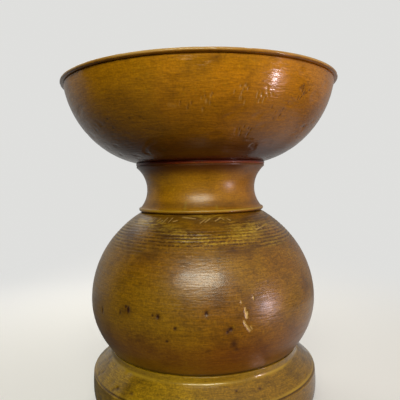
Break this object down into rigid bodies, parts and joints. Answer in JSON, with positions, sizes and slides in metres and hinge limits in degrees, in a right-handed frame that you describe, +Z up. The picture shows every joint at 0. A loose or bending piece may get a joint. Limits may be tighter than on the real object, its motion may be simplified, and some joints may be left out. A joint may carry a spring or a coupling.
{
  "type": "turned pedestal bowl",
  "caption": "Varnished turned-wood bowl with a lipped rim that unscrews from a waisted neck, standing on a globe and a bevelled round base.",
  "frame": {"origin": "centre of the underside of the base, on the turning axis, at the floor", "axes": "+Z up the turning axis towards the bowl's mouth; +X and +Y are level, -Y faces the camera of the picture"},
  "size_m": [0.2, 0.2, 0.2365],
  "materials": {
    "base_wood": "varnished amber",
    "globe_wood": "varnished amber with tool marks",
    "neck_wood": "varnished amber",
    "collar_wood": "dark red varnish",
    "bowl_wood": "varnished amber",
    "bare_wood": "bare, waxed"
  },
  "bodies": {
    "pedestal": {"base_lower": "base_wood", "base_upper": "base_wood", "globe": "globe_wood", "tenon_wedge": "bare_wood", "neck": "neck_wood"},
    "collar": {"collar_ring": "collar_wood"},
    "bowl": {"bowl": "bowl_wood", "bowl_screw": "bare_wood"}
  },
  "joints": [
    {"name": "bowl_turn", "type": "hinge", "parent": "pedestal", "child": "collar", "pos_m": [0, 0, 0.1772], "axis": [0, 0, 1], "range_deg": [0, 1080]},
    {"name": "bowl_rise", "type": "slide", "parent": "collar", "child": "bowl", "axis": [0, 0, 1], "range_m": [0, 0.018]}
  ],
  "couplings": [
    {"joint": "bowl_rise", "follows": "bowl_turn", "m_per_rad": 0.00095492}
  ]
}
